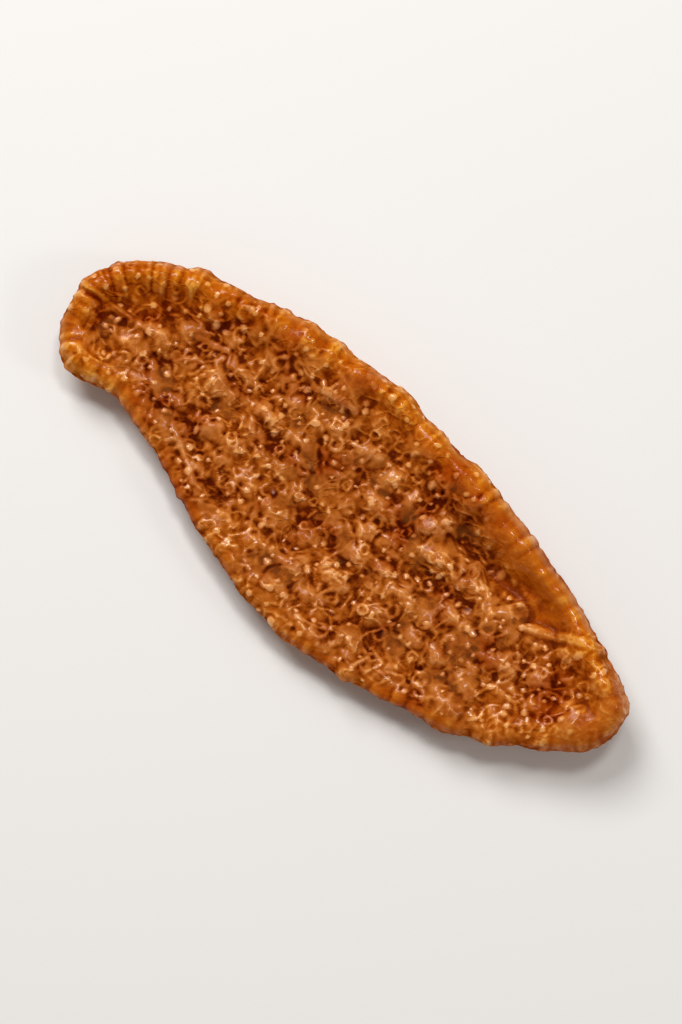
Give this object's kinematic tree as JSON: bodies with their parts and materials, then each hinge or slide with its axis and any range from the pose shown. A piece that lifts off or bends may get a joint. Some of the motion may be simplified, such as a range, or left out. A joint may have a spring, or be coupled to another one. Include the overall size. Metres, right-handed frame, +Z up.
{
  "type": "dried sapodilla slice",
  "caption": "One dried lengthwise slice of sapodilla: a cupped wedge with a thick crimped rim, a lumpy sunken cut face and turned-up tips, resting on its belly.",
  "frame": {"origin": "on the surface that the slice lies on, under the middle of its box", "axes": "+X along the slice from the blunt end to the pointed tip, +Y across it from the inner edge to the outer edge, +Z up"},
  "size_m": [0.062, 0.0244, 0.0075],
  "materials": {
    "dried_flesh": "golden brown dried fruit flesh, slightly translucent, tacky with sugar and glossy on its lumps"
  },
  "bodies": {
    "root": {"dried_sapodilla_slice": "dried_flesh"}
  },
  "joints": []
}
